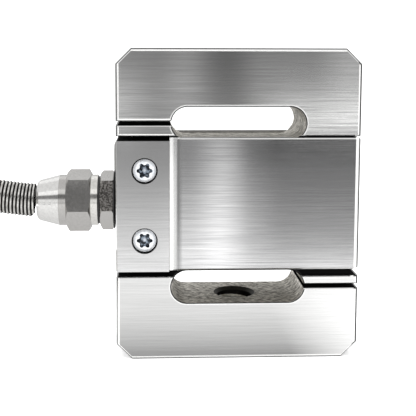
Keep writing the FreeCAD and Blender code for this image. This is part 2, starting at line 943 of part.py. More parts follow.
def make_hose():
    seat = FreeCAD.Vector(-amount("half_width") - amount("socket_seat"), 0, amount("middle"))
    points = [seat] + [FreeCAD.Vector(*point) for point in HOSE_ROUTE]
    edges, radii = route_edges(points)

    # The hose is free up to the middle of one run; from there it is one solid with the coil.
    run = edges[2 * FREE_RUNS]
    first, last = run.firstVertex().Point, run.lastVertex().Point
    half_way = (first + last) / 2
    free = edges[: 2 * FREE_RUNS] + [Part.LineSegment(first, half_way).toShape()]
    landed = [Part.LineSegment(half_way, last).toShape()] + edges[2 * FREE_RUNS + 1 :]
    thickness = amount("hose_radius")
    computed("conduit_hose", round_tube(free, thickness))

    # The coil lies on the floor, touched by the route's last point from behind.
    centre = points[-1] - FreeCAD.Vector(0, amount("coil_outer_turn"), 0)
    inside, outside, top = amount("coil_inside"), amount("coil_outside"), amount("coil_top")
    floor = FreeCAD.Vector(centre.x, centre.y, 0)
    ring = Part.makeCylinder(outside, top, floor).cut(Part.makeCylinder(inside, top, floor))
    rims = [edge for edge in ring.Edges if isinstance(edge.Curve, Part.Circle)]
    ring = ring.makeFillet(amount("coil_round"), rims)

    # The tail leaves the lowest outer turn and rises a little, so that its end ring clears the floor.
    low = amount("coil_lowest")
    tail_start = FreeCAD.Vector(centre.x, centre.y - amount("coil_outer_turn"), low)
    half_tail = FreeCAD.Vector(amount("tail_run") / 2, 0, 0)
    tail_end = tail_start + half_tail * 2 + FreeCAD.Vector(0, 0, TAIL_RISE)
    tail, tail_radii = route_edges([tail_start, tail_start + half_tail, tail_end])
    coil = ring.fuse([round_tube(landed, thickness), round_tube(tail, thickness)])
    computed("conduit_coil", coil.removeSplitter())
    print("arc radii", [round(radius, 1) for radius in radii + tail_radii])

    along = (tail_end - tail_start - half_tail).normalize()
    make_far_end(tail_end, along)


def make_far_end(place, along):
    """The end ring, the bare lead and its four stripped conductors, all on the tail's last line."""
    rod = Part.makeCylinder
    wall, length = amount("end_ring_wall"), amount("end_ring_length")
    hose, cable = amount("hose_radius"), amount("cable_radius")
    half = length / 2
    ring = rod(hose + wall, length, place - along * half, along)
    ring = ring.cut(rod(hose, half, place - along * half, along)).cut(rod(cable, half, place, along))
    computed("conduit_end_ring", ring)
    lead = amount("lead_length")
    computed("lead_tail", rod(cable, lead, place, along))
    end = place + along * lead
    across = FreeCAD.Vector(0, 1, 0)
    upward = along.cross(across)
    for number in range(4):
        turn = math.radians(45 + 90 * number)
        aside = (across * math.cos(turn) + upward * math.sin(turn)) * (cable / 2)
        core = rod(amount("wire_radius"), amount("core_length"), end + aside, along)
        computed(f"lead_core_{number + 1}", core)


def check_and_export():
    """Stops on a failed object or a broken shape, then writes one STEP file for each sub-part."""
    failed = [item.Name for item in doc.Objects if {"Invalid", "Error"} & set(item.State)]
    if failed:
        raise ValueError(f"failed objects: {failed}")
    for item in NODES:
        if item.Shape.isNull() or not item.Shape.isValid():
            raise ValueError(f"{item.Label} has no valid shape")
    os.makedirs("parts", exist_ok=True)
    for item in NODES:
        item.Shape.exportStep(f"parts/{item.Label}.step")
    print(len(NODES), "nodes written")


doc = FreeCAD.newDocument("SLoadCell")
sheet = doc.addObject("Spreadsheet::Sheet", "Sizes")
for row, (name, number) in enumerate(SIZES.items(), 1):
    sheet.set(f"A{row}", name)
    sheet.set(f"B{row}", str(number))
    sheet.setAlias(f"B{row}", name)
doc.recompute()
places = doc.addObject("App::VarSet", "Places")
for name, text in PLACES.items():
    places.addProperty("App::PropertyFloat", name)
    places.setExpression(name, lead_names(text))
doc.recompute()

make_spring_element()
make_centre_cover()
make_entry_block()
make_screws()
make_gland()
make_gauged_web()
make_board()
make_conductors()
make_hose()
doc.recompute()
check_and_export()
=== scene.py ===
import math

import bmesh
import bpy
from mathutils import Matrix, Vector


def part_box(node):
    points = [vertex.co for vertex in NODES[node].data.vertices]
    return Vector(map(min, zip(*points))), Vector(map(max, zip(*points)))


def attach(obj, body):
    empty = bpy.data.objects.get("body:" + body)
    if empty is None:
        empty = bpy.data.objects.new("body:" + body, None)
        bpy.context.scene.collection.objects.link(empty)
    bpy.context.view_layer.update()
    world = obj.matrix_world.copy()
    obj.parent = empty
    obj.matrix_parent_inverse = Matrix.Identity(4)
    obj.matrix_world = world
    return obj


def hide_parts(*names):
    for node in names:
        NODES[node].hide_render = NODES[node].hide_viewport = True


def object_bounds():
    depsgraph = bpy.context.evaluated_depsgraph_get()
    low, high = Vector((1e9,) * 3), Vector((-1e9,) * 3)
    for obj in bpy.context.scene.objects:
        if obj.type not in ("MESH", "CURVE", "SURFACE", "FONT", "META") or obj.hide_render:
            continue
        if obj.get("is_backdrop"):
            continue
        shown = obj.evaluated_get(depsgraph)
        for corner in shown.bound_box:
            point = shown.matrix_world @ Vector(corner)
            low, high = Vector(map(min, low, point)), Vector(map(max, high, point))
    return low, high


# The S type load cell's looks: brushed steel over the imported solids, and the wound hose with its coil and ties.
# Lengths are in mm, and mm() takes them to metres. X runs along the slots, Y away from the photographed face, Z up.

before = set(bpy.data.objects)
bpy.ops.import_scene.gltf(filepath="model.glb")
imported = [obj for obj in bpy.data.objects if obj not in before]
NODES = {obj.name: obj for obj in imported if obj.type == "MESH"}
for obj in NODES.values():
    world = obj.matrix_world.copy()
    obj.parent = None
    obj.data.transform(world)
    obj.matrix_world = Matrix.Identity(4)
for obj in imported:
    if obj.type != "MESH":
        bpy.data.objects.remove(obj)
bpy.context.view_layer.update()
MM = 0.001


def mm(*point):
    """A place stated in millimetres, as metres in the row frame."""
    return Vector(point) * MM


def add_object(name, data):
    """A new object in the scene, for a mesh, camera, light or curve."""
    thing = bpy.data.objects.new(name, data)
    bpy.context.scene.collection.objects.link(thing)
    return thing


# ---------------------------------------------------------------- camera

CAMERA_PLACE = mm(-21.0, -211.5, 76.0)
CAMERA_YAW, CAMERA_PITCH, CAMERA_ROLL = 2.371, -5.528, 0.162    # degrees
CAMERA_LENS, CAMERA_SENSOR = 72.43, 36.0
CAMERA_SHIFT = (0.05, -0.18)
CAMERA_CLIP = (0.01, 20.0)          # metres


def make_camera():
    data = bpy.data.cameras.new("camera")
    data.lens, data.sensor_width = CAMERA_LENS, CAMERA_SENSOR
    data.shift_x, data.shift_y = CAMERA_SHIFT
    data.clip_start, data.clip_end = CAMERA_CLIP
    camera = add_object("camera", data)
    camera.location = CAMERA_PLACE
    yaw, pitch = math.radians(CAMERA_YAW), math.radians(CAMERA_PITCH)
    forward = Vector((math.sin(yaw) * math.cos(pitch), math.cos(yaw) * math.cos(pitch), math.sin(pitch)))
    camera.rotation_euler = forward.to_track_quat("-Z", "Y").to_matrix().to_euler()
    camera.rotation_euler.rotate_axis("Z", math.radians(CAMERA_ROLL))
    bpy.context.scene.camera = camera


# ---------------------------------------------------------------- hose

HOSE_RADIUS = 4.3
HOSE_EXIT = (-50.05, 0.0, 38.5)
HOSE_ROUTE = ((-52.2, 0.0, 38.5), (-64.5, 0.0, 40.2), (-76.4, 0.0, 39.1), (-88.0, 0.0, 35.4),
              (-98.6, 0.0, 29.4), (-109.6, 0.0, 25.2), (-121.3, 0.0, 23.0))
HOSE_TAIL = ((-99.3, -112.0, 5.4), (-77.3, -112.0, 6.4))
HOSE_STEPS = 12                     # points read between two points of the route
COIL_CENTRE = (-121.3, -56.0)
COIL_STEPS = 16                     # points in each turn
COIL_POINTS = 88                    # five and a half turns
COIL_INNER, COIL_OUTER = 47.0, 56.0
COIL_LOW, COIL_MIDDLE, COIL_HIGH = 5.4, 14.2, 23.0
# A point's number in the coil, with its radius and its level.
COIL_LAPS = ((0, COIL_OUTER, COIL_HIGH), (14, COIL_OUTER, COIL_HIGH), (16, COIL_INNER, COIL_HIGH),
             (28, COIL_INNER, COIL_HIGH), (30, COIL_INNER, COIL_MIDDLE), (41, COIL_INNER, COIL_MIDDLE),
             (43, 45.4, COIL_MIDDLE), (45, COIL_OUTER, COIL_MIDDLE), (58, COIL_OUTER, COIL_MIDDLE),
             (60, COIL_INNER, COIL_LOW), (73, COIL_INNER, COIL_LOW), (75, 57.6, COIL_LOW),
             (77, COIL_OUTER, COIL_LOW), (88, COIL_OUTER, COIL_LOW))


def lap_at(number):
    """The radius and level of one coil point, between the two stated laps around it."""
    for (first, radius, level), (last, next_radius, next_level) in zip(COIL_LAPS, COIL_LAPS[1:]):
        if number <= last:
            part = (number - first) / (last - first)
            return radius + (next_radius - radius) * part, level + (next_level - level) * part


def hose_points():
    points = [HOSE_EXIT, *HOSE_ROUTE]
    reach = 1 / math.cos(math.pi / COIL_STEPS)
    for number in range(1, COIL_POINTS + 1):
        radius, level = lap_at(number)
        angle = math.pi / 2 + 2 * math.pi * number / COIL_STEPS
        points.append((COIL_CENTRE[0] + radius * reach * math.cos(angle),
                       COIL_CENTRE[1] + radius * reach * math.sin(angle), level))
    points.extend(HOSE_TAIL)
    return [mm(*point) for point in points]


def centreline(points, resolution):
    """Points read from one open NURBS spline with these control points."""
    curve = bpy.data.curves.new("hose_route", "CURVE")
    curve.dimensions = "3D"
    curve.resolution_u = resolution
    spline = curve.splines.new("NURBS")
    spline.points.add(len(points) - 1)
    for place, point in zip(spline.points, points):
        place.co = (*point, 1.0)
    spline.order_u = 3
    spline.use_endpoint_u = True
    route = add_object("hose_route", curve)
    bpy.context.view_layer.update()
    mesh = bpy.data.meshes.new_from_object(route.evaluated_get(bpy.context.evaluated_depsgraph_get()))
    line = [vertex.co.copy() for vertex in mesh.vertices]
    bpy.data.objects.remove(route)
    bpy.data.curves.remove(curve)
    bpy.data.meshes.remove(mesh)
    return line


class Line:
    """A place and a twist-free frame at any distance along a list of points."""

    def __init__(self, points):
        self.points = points
        self.at = [0.0]
        for first, last in zip(points, points[1:]):
            self.at.append(self.at[-1] + (last - first).length)
        self.length = self.at[-1]
        runs = [(last - first).normalized() for first, last in zip(points, points[1:])]
        self.along = [runs[0]]
        self.along += [(one + two).normalized() for one, two in zip(runs, runs[1:])]
        self.along.append(runs[-1])
        side = self.along[0].orthogonal().normalized()
        self.side = [side]
        for tangent in self.along[1:]:
            side = (side - tangent * side.dot(tangent)).normalized()
            self.side.append(side)
        self.here = 0

    def frame_at(self, distance):
        """The place, side and up at a distance; distances are asked for in rising order."""
        while self.here < len(self.at) - 2 and self.at[self.here + 1] < distance:
            self.here += 1
        one, two = self.here, self.here + 1
        part = (distance - self.at[one]) / (self.at[two] - self.at[one])
        place = self.points[one].lerp(self.points[two], part)
        tangent = self.along[one].lerp(self.along[two], part).normalized()
        side = self.side[one].lerp(self.side[two], part)
        side = (side - tangent * side.dot(tangent)).normalized()
        return place, side, tangent.cross(side)


RIB_PITCH = 0.9
RIB_SIDES = 14
# Each row's share of the pitch, its radius, and how much it belongs to the groove.
RIB_PROFILE = ((0.0, 3.85, 1.0), (0.36, 4.28, 0.2), (0.66, 4.28, 0.2))


def make_hose():
    """A strip-wound steel hose: rounded bands on one helix, with a groove between them."""
    line = Line(centreline(hose_points(), HOSE_STEPS))
    pitch = RIB_PITCH * MM
    turns = int(line.length / pitch) - 1
    rows = len(RIB_PROFILE)
    samples = turns * RIB_SIDES
    start = (line.length - samples * pitch / RIB_SIDES - pitch) / 2
    vertices, grooves = [], []
    for number in range(samples):
        base = start + number * pitch / RIB_SIDES
        angle = 2 * math.pi * number / RIB_SIDES
        for share, radius, groove in RIB_PROFILE:
            vertices.append((base + share * pitch, angle, radius * MM))
            grooves.append(groove)
    places = [None] * len(vertices)
    for index in sorted(range(len(vertices)), key=lambda index: vertices[index][0]):
        distance, angle, radius = vertices[index]
        place, side, up = line.frame_at(distance)
        places[index] = place + (side * math.cos(angle) + up * math.sin(angle)) * radius
    faces = []
    for number in range(samples):
        column, ahead = number * rows, (number + 1) * rows
        for row in range(rows):
            if row < rows - 1:
                corners = (column + row, ahead + row, ahead + row + 1, column + row + 1)
            else:
                above = (number + RIB_SIDES) * rows
                corners = (column + row, ahead + row, above + rows, above)
            if max(corners) < len(places):
                faces.append(corners)
    mesh = bpy.data.meshes.new("metal_hose")
    mesh.from_pydata(places, [], faces)
    mesh.shade_smooth()
    groove = mesh.attributes.new("groove", "FLOAT", "POINT")
    groove.data.foreach_set("value", grooves)
    return add_object("metal_hose", mesh), line


TIE_DEGREES = (20, 140, 235)        # where the ties stand round the coil
TIE_THICK, TIE_WIDE = 0.8, 7.0
TIE_CLEAR = 0.05                    # between a tie and the turns
TIE_EDGE = 0.15                     # how much thinner a tie is at its two edges
TIE_STATIONS = (-1.0, -0.8, 0.8, 1.0)
TIE_CORNER_STEPS = 6


def tie_loop(work, centre, out, offset, depth):
    """One closed loop round the bundle of turns, at a depth outside it."""
    low, high = COIL_LOW - HOSE_RADIUS, COIL_HIGH + HOSE_RADIUS
    near, far = COIL_INNER - HOSE_RADIUS, COIL_OUTER + HOSE_RADIUS
    corner = HOSE_RADIUS
    loop = []
    for quarter, (x, z) in enumerate(((far, high), (near, high), (near, low), (far, low))):
        middle_x = x - corner if x == far else x + corner
        middle_z = z - corner if z == high else z + corner
        for step in range(TIE_CORNER_STEPS + 1):
            angle = math.pi / 2 * (quarter + step / TIE_CORNER_STEPS)
            radius = corner + depth
            place = (centre + out * (middle_x + radius * math.cos(angle)) * MM
                     + Vector((0, 0, middle_z + radius * math.sin(angle))) * MM + offset)
            loop.append(work.verts.new(place))
    return loop


def make_ties():
    """Three straps round the bundle of turns, each a closed band with thinner edges."""
    ties = []
    centre = mm(COIL_CENTRE[0], COIL_CENTRE[1], 0)
    for number, degrees in enumerate(TIE_DEGREES):
        turn = math.radians(degrees)
        out = Vector((math.cos(turn), math.sin(turn), 0))
        across = Vector((-math.sin(turn), math.cos(turn), 0))
        work = bmesh.new()
        rings = []
        for share in TIE_STATIONS:
            inset = TIE_EDGE if abs(share) == 1.0 else 0.0
            offset = across * share * TIE_WIDE / 2 * MM
            rings.append([tie_loop(work, centre, out, offset, depth)
                          for depth in (TIE_CLEAR + inset, TIE_THICK - inset)])
        count = len(rings[0][0])
        for index in range(count):
            after = (index + 1) % count
            for one, two in zip(rings, rings[1:]):
                work.faces.new((one[1][index], one[1][after], two[1][after], two[1][index]))
                work.faces.new((one[0][index], two[0][index], two[0][after], one[0][after]))
            for ring in (rings[0], rings[-1]):
                work.faces.new((ring[0][index], ring[0][after], ring[1][after], ring[1][index]))
        ties.append(finish_mesh(work, f"coil_tie_{number + 1}"))
    return ties


def finish_mesh(work, name):
    """A smooth object from a closed bmesh."""
    bmesh.ops.recalc_face_normals(work, faces=work.faces)
    mesh = bpy.data.meshes.new(name)
    work.to_mesh(mesh)
    work.free()
    mesh.shade_smooth()
    return add_object(name, mesh)


# ---------------------------------------------------------------- washer

RING_STEPS = 64
# How far each corner of the washer is beyond the tab, and its radius.
WASHER_PROFILE = ((0.02, 6.3), (0.02, 7.1), (0.12, 7.25), (0.28, 7.25), (0.38, 7.1), (0.38, 6.3))


def make_ring(name, profile):
    """A ring turned about the gland's axis, from its X stations and radii."""
    low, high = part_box("gland_body")
    level = (low.z + high.z) / 2
    work = bmesh.new()
    loops = []
    for station, radius in profile:
        loops.append([work.verts.new((station * MM, radius * MM * math.cos(2 * math.pi * step / RING_STEPS),
                                      level + radius * MM * math.sin(2 * math.pi * step / RING_STEPS)))
                      for step in range(RING_STEPS)])
    for one, two in zip(loops, loops[1:] + loops[:1]):
        for step in range(RING_STEPS):
            after = (step + 1) % RING_STEPS
            work.faces.new((one[step], one[after], two[after], two[step]))
    return finish_mesh(work, name)


# ---------------------------------------------------------------- threads

THREAD_PITCH = 1.5
THREAD_CREST, THREAD_ROOT = 4.2, 4.56
THREAD_PROFILE = ((THREAD_ROOT, -0.62), (THREAD_CREST, -0.1), (THREAD_CREST, 0.1), (THREAD_ROOT, 0.62))
THREAD_STEPS = 36                   # in each turn
THREAD_FADE = 9                     # steps over which the ridge rises at each end
THREAD_END = 0.85                   # how far its ends stay inside the hole
# Each thread's name, and where its hole starts and ends in Z.
THREADS = (("lower_thread_ridge", 0.0, 13.4), ("upper_thread_ridge", 63.6, 77.0))


def make_thread(name, low, high):
    """The ridge of a metric thread, standing in from the bore's wall."""
    start, end = low + THREAD_END, high - THREAD_END
    samples = int((end - start) / THREAD_PITCH * THREAD_STEPS)
    rows = len(THREAD_PROFILE)
    vertices, faces = [], []
    for number in range(samples + 1):
        angle = 2 * math.pi * number / THREAD_STEPS
        level = start + THREAD_PITCH * number / THREAD_STEPS
        fade = min(1.0, number / THREAD_FADE, (samples - number) / THREAD_FADE)
        for radius, rise in THREAD_PROFILE:
            reach = THREAD_ROOT + (radius - THREAD_ROOT) * fade
            vertices.append(mm(reach * math.cos(angle), reach * math.sin(angle), level + rise))
    for number in range(samples):
        for row in range(rows - 1):
            one = number * rows + row
            faces.append((one, one + 1, one + rows + 1, one + rows))
    mesh = bpy.data.meshes.new(name)
    mesh.from_pydata(vertices, [], faces)
    mesh.update()
    return add_object(name, mesh)


# ---------------------------------------------------------------- materials

SLOT_LEVELS = (18.2, 58.8)
SLOT_STRAIGHT, SLOT_TURN = 12.5, 4.0             # half the straight part of a slot, and the radius of its ends
HALF_WIDTH, HALF_DEPTH = 30.0, 10.0
MIDDLE = 38.5                       # the middle of the height
CORNER_CUT = 3.8
CORNER_SUM = HALF_WIDTH - CORNER_CUT + MIDDLE   # |x| and the height from the middle, on the corner cuts
# Black, for painted shade in slits, gaps and recesses.
BLACK_SHADE = (0.012, 0.012, 0.012)
# Near-black, for painted dark lines along outlines and rims.
RIM_SHADE = (0.07, 0.07, 0.07)
# Pale, for painted highlights on eased edges and lips.
LIP_HIGHLIGHT = (0.86, 0.86, 0.85)
NICKEL = (0.5, 0.49, 0.475)
FLAT = (0.97, 0.01)                 # how squarely a flat face looks along its axis, and the softness of that


class Shader:
    """A material's node tree, with short calls for the nodes that these materials use.

    Places are in mm. leans holds how far the surface faces along X, Y and Z, whichever way. The limits of under(),
    over() and window() are each followed by how softly they are crossed.
    """

    def __init__(self, name, **values):
        self.material = bpy.data.materials.new(name)
        self.material.use_nodes = True
        self.tree = self.material.node_tree
        self.tree.nodes.clear()
        self.surface = self.node("BsdfPrincipled")
        self.set(**values)
        output = self.node("OutputMaterial")
        self.tree.links.new(self.surface.outputs[0], output.inputs["Surface"])
        self.place = self.node("TexCoord").outputs["Object"]
        self.x, self.y, self.z = self.parts(self.stretched((1000.0,) * 3))
        faces = self.parts(self.node("NewGeometry").outputs["Normal"])
        self.leans = [self.calc("ABSOLUTE", face) for face in faces]

    def give(self, socket, value):
        """Links a socket to an input, or sets the input; a colour gets its alpha."""
        if isinstance(value, bpy.types.NodeSocket):
            self.tree.links.new(value, socket)
        elif socket.type == "RGBA":
            socket.default_value = (*value, 1.0)
        else:
            socket.default_value = value

    def node(self, kind, inputs=None, **settings):
        made = self.tree.nodes.new("ShaderNode" + kind)
        for key, value in settings.items():
            setattr(made, key, value)
        for key, value in (inputs or {}).items():
            self.give(made.inputs[key], value)
        return made

    def set(self, **values):
        """Values or sockets for the surface's own inputs, with underscores for the spaces in their names."""
        for key, value in values.items():
            self.give(self.surface.inputs[key.replace("_", " ")], value)

    def calc(self, operation, one, two=0.0, three=0.0):
        return self.node("Math", {0: one, 1: two, 2: three}, operation=operation).outputs[0]

    def parts(self, vector):
        made = self.node("SeparateXYZ", {0: vector})
        return made.outputs[0], made.outputs[1], made.outputs[2]

    def stretched(self, scale, vector=None):
        return self.node("Mapping", {"Vector": vector or self.place, "Scale": scale}).outputs[0]

    def turned(self, angle):
        """Places turned about Z, by an angle in radians."""
        return self.node("Mapping", {"Vector": self.place, "Rotation": (0.0, 0.0, angle)}).outputs[0]

    def noise(self, scale, detail=2.0, roughness=0.5, distortion=0.0, vector=None):
        """Noise whose scale is three numbers, in cells per metre along each axis."""
        inputs = {"Vector": self.stretched(scale, vector), "Scale": 1.0, "Detail": detail,
                  "Roughness": roughness, "Distortion": distortion}
        return self.node("TexNoise", inputs).outputs[0]

    def grains(self, scale, detail=3.0, roughness=0.6):
        """Noise of one scale along all axes."""
        return self.noise((scale,) * 3, detail, roughness)

    def spread(self, value, low, high, to_low=0.0, to_high=1.0):
        """The value taken from one range to another, held at its ends."""
        inputs = {"Value": value, "From Min": low, "From Max": high, "To Min": to_low, "To Max": to_high}
        return self.node("MapRange", inputs).outputs[0]

    def under(self, value, limit, soft):
        return self.spread(value, limit - soft, limit + soft, 1.0, 0.0)

    def over(self, value, limit, soft):
        return self.spread(value, limit - soft, limit + soft)

    def window(self, value, low, low_soft, high, high_soft):
        """Two shares that are whole only between the limits."""
        return self.over(value, low, low_soft), self.under(value, high, high_soft)

    def both(self, *shares):
        whole = shares[0]
        for share in shares[1:]:
            whole = self.calc("MULTIPLY", whole, share)
        return whole

    def from_middle(self):
        """How far a place is above or below the middle of the height."""
        return self.calc("ABSOLUTE", self.calc("SUBTRACT", self.z, MIDDLE))

    def squares(self, one, two):
        return self.calc("MULTIPLY_ADD", one, one, self.calc("MULTIPLY", two, two))

    def mixed(self, kind, slots, values):
        made = self.node("Mix", data_type=kind)
        for slot, value in zip(slots, values):
            self.give(made.inputs[slot], value)
        return made

    def mix(self, share, one, two):
        """Between two colours or colour sockets."""
        return self.mixed("RGBA", (0, 6, 7), (share, one, two)).outputs[2]

    def blend(self, share, one, two):
        """Between two numbers or number sockets."""
        return self.mixed("FLOAT", (0, 2, 3), (share, one, two)).outputs[0]

    def base(self, colour, rough):
        self.colour, self.rough, self.metal = colour, rough, None

    def layer(self, share, colour, rough, metal=None):
        """Lays another finish over the one so far; metal is its own share of metal, if that differs."""
        self.colour = self.mix(share, self.colour, colour)
        self.rough = self.blend(share, self.rough, rough)
        if metal is not None:
            before = 1.0 if self.metal is None else self.metal
            self.metal = self.blend(share, before, metal)

    def close(self, height, depth, strength):
        """Gives the surface its layers, and a bump whose depth is in metres."""
        bump = self.node("Bump", {"Height": height, "Distance": depth, "Strength": strength})
        self.set(Base_Color=self.colour, Roughness=self.rough, Normal=bump.outputs[0])
        if self.metal is not None:
            self.set(Metallic=self.metal)


STREAK_COARSE, STREAK_FINE = 1900.0, 4600.0     # cells per metre across the brushing
STREAK_LENGTH = 34.0                            # cells per metre along it
BRUSH_DEPTH, BRUSH_STRENGTH = 0.00003, 0.3


def brushing(shader):
    """Streaks along X, and along Z on the end faces, as one value about 0.5."""
    end_face = shader.over(shader.leans[0], 0.7, 0.1)
    main = shader.noise((STREAK_LENGTH, STREAK_COARSE, STREAK_COARSE), 3.0, 0.65)
    thin = shader.noise((STREAK_LENGTH * 2.5, STREAK_FINE, STREAK_FINE), 2.0, 0.6)
    side = shader.noise((STREAK_COARSE, STREAK_COARSE, STREAK_LENGTH), 3.0, 0.65)
    flat = shader.calc("MULTIPLY_ADD", thin, 0.55, shader.calc("MULTIPLY", main, 0.45))
    return shader.blend(end_face, flat, side)


def across_brushing(shader):
    """The direction that highlights stretch in: Z on the front, Y on the top and on the ends."""
    front = shader.leans[1]
    rest = shader.calc("SUBTRACT", 1.0, front)
    return shader.node("CombineXYZ", {"X": 0.0, "Y": rest, "Z": front}).outputs[0]


def brushed_steel(name, light, dark, roughness, rim):
    """Brushed faces with a painted highlight on the bevels, whose outer rim, under the stated depth in mm, carries
    a painted dark line.
    """
    shader = Shader(name, Metallic=1.0, Anisotropic=0.75)
    shader.set(Tangent=across_brushing(shader))
    streak = brushing(shader)
    cloud = shader.noise((22.0, 60.0, 60.0), 2.0)
    colour = shader.mix(shader.spread(streak, 0.32, 0.68), dark, light)
    colour = shader.mix(shader.spread(cloud, 0.3, 0.75, 0.0, 0.15), colour, dark)
    shader.base(colour, shader.spread(streak, 0.3, 0.7, roughness + 0.06, roughness - 0.04))
    shader.depth = shader.calc("ABSOLUTE", shader.y)
    lean = shader.leans[1]
    shader.bevel = shader.both(shader.over(lean, 0.25, 0.08), shader.under(lean, 0.97, 0.015))
    # A painted highlight on the bevels: a pale colour and a low roughness.
    shader.layer(shader.bevel, (0.88, 0.88, 0.87), 0.16)
    # The bevels' outer rim, where a painted dark line goes along the outline.
    shader.rim = shader.both(shader.bevel, shader.under(shader.depth, rim, 0.03))
    shader.streak = streak
    return shader


def finish_brushed(shader, rim=True):
    # Lays the painted dark line along the outline.
    if rim:
        shader.layer(shader.rim, RIM_SHADE, 0.4)
    shader.close(shader.streak, BRUSH_DEPTH, BRUSH_STRENGTH)
    return shader


def slot_distance(shader, level):
    """How far a place is outside one slot's outline, in mm; it is below zero inside."""
    aside = shader.calc("SUBTRACT", shader.calc("ABSOLUTE", shader.x), SLOT_STRAIGHT)
    beyond = shader.calc("MAXIMUM", aside, 0.0)
    rise = shader.calc("SUBTRACT", shader.z, level)
    return shader.calc("SUBTRACT", shader.calc("SQRT", shader.squares(beyond, rise)), SLOT_TURN)


def milling(shader):
    """The coarse curved marks of the cutter on the slots' walls."""
    marks = shader.noise((420.0, 2100.0, 900.0), 3.0, 0.7, 0.6, shader.turned(0.7))
    others = shader.noise((500.0, 1700.0, 700.0), 3.0, 0.7, 0.8, shader.turned(-0.5))
    return shader.calc("MULTIPLY_ADD", others, 0.45, shader.calc("MULTIPLY", marks, 0.55))


# The margins and the bands beside the upper slit carry a painted highlight.
FACE_EDGE_X, FACE_EDGE_Z = 29.2, 37.75          # where the bright margin of the flat faces starts
LEFT_LIPS = ((59.4, 59.95), (55.6, 56.2))       # bright bands beside the upper slit, from and to
SEAT_DEPTH = 9.3                                # of the sunk faces that the cover and the block sit on
BORE_RADIUS = 5.6                               # takes in the thread's mouth


def spring_edges(shader, face, near):
    """Calmer streaks on the bottom arm, painted highlights on the margins and lips, painted dark lines on the rims,
    and the slots' outlines painted as a highlight with a dark line at the edge.
    """
    calm = shader.calc("MULTIPLY", shader.under(shader.z, 22.0, 2.0), 0.55)
    shader.layer(shader.both(face, calm), (0.63, 0.63, 0.625), 0.15)
    # A painted highlight on the margins of the flat faces and on the lips beside the upper slit.
    margin = shader.calc("MAXIMUM", shader.over(shader.calc("ABSOLUTE", shader.x), FACE_EDGE_X, 0.03),
                         shader.over(shader.from_middle(), FACE_EDGE_Z, 0.03))
    left = shader.under(shader.x, 0.0, 1.0)
    bands = [shader.both(left, *shader.window(shader.z, low, 0.02, high, 0.05)) for low, high in LEFT_LIPS]
    edges = shader.calc("MAXIMUM", margin, shader.calc("MAXIMUM", *bands))
    shader.layer(shader.both(face, edges), LIP_HIGHLIGHT, 0.25, 0.3)
    # A painted dark line on the right-hand bevel as well as on the rims.
    right = shader.both(shader.bevel, shader.over(shader.x, 29.0, 0.1), shader.under(shader.depth, 9.5, 0.03))
    shader.layer(shader.calc("MAXIMUM", shader.rim, right), RIM_SHADE, 0.4, 1.0)
    # The slots' outlines: a painted highlight, and a painted dark line right at the edge.
    shader.layer(shader.both(face, shader.under(near, 0.5, 0.05)), (0.8, 0.8, 0.79), 0.25, 0.4)
    shader.layer(shader.both(face, shader.under(near, 0.26, 0.05)), (0.04, 0.04, 0.04), 0.4, 1.0)


def spring_inside(shader, face, near):
    """Black painted shade in the slits, the seat and the pockets; returns the share of the slots' walls and their
    cutter marks.
    """
    aside = shader.calc("ABSOLUTE", shader.x)
    corner = shader.calc("ADD", aside, shader.from_middle())
    inward = shader.both(shader.under(shader.leans[1], 0.3, 0.05), shader.under(aside, 29.6, 0.1),
                         *shader.window(shader.z, 0.4, 0.1, 76.6, 0.1),
                         shader.under(corner, CORNER_SUM - 0.3, 0.1))
    sunk = shader.both(face, shader.under(shader.depth, SEAT_DEPTH, 0.05))
    # Black painted shade on the faces turned inwards and on the sunk seat; the slots' walls take their milled grey
    # over it.
    shader.layer(shader.calc("MAXIMUM", inward, sunk), BLACK_SHADE, 0.75)
    wall = shader.both(inward, shader.under(near, 0.12, 0.03))
    marks = milling(shader)
    grey = shader.mix(shader.spread(marks, 0.42, 0.58), (0.13, 0.12, 0.1), (0.86, 0.83, 0.76))
    shader.layer(wall, grey, shader.spread(marks, 0.3, 0.7, 0.5, 0.28))
    return wall, marks


def spring_bores(shader):
    """Painted shade in the bores, and in the countersinks where they meet the slots."""
    bore = shader.under(shader.calc("SQRT", shader.squares(shader.x, shader.y)), BORE_RADIUS, 0.1)
    upright = shader.under(shader.leans[2], 0.5, 0.1)
    # Painted shade on the bores' walls.
    shader.layer(shader.both(bore, upright), (0.02, 0.019, 0.018), 0.5)
    sink = shader.both(bore, *shader.window(shader.leans[2], 0.55, 0.05, 0.9, 0.05))
    # Painted shade on the countersinks.
    shader.layer(sink, (0.045, 0.044, 0.04), 0.4)


def spring_steel():
    """Brushed outside, coarse milled in the slots, with painted shade in the slits, the seat and the bores."""
    shader = brushed_steel("spring_steel_finish", (0.74, 0.74, 0.735), (0.53, 0.53, 0.525), 0.14, 9.27)
    face = shader.over(shader.leans[1], *FLAT)
    distances = [shader.calc("ABSOLUTE", slot_distance(shader, level)) for level in SLOT_LEVELS]
    near = shader.calc("MINIMUM", *distances)
    spring_edges(shader, face, near)
    wall, marks = spring_inside(shader, face, near)
    spring_bores(shader)
    height = shader.blend(wall, shader.streak, shader.calc("MULTIPLY", marks, 3.0))
    shader.close(height, BRUSH_DEPTH, BRUSH_STRENGTH)
    return shader


COVER_RAMP_FOOT, COVER_RAMP_TOP = -16.0, -14.5  # the slope up from the entry block, in X
# The painted highlight on the rolled right edge starts at COVER_TURN, and its painted dark line at COVER_OUTLINE.
COVER_TURN = 28.6                               # where the cover's right edge starts to roll over
COVER_OUTLINE = 29.36                           # where its dark line starts


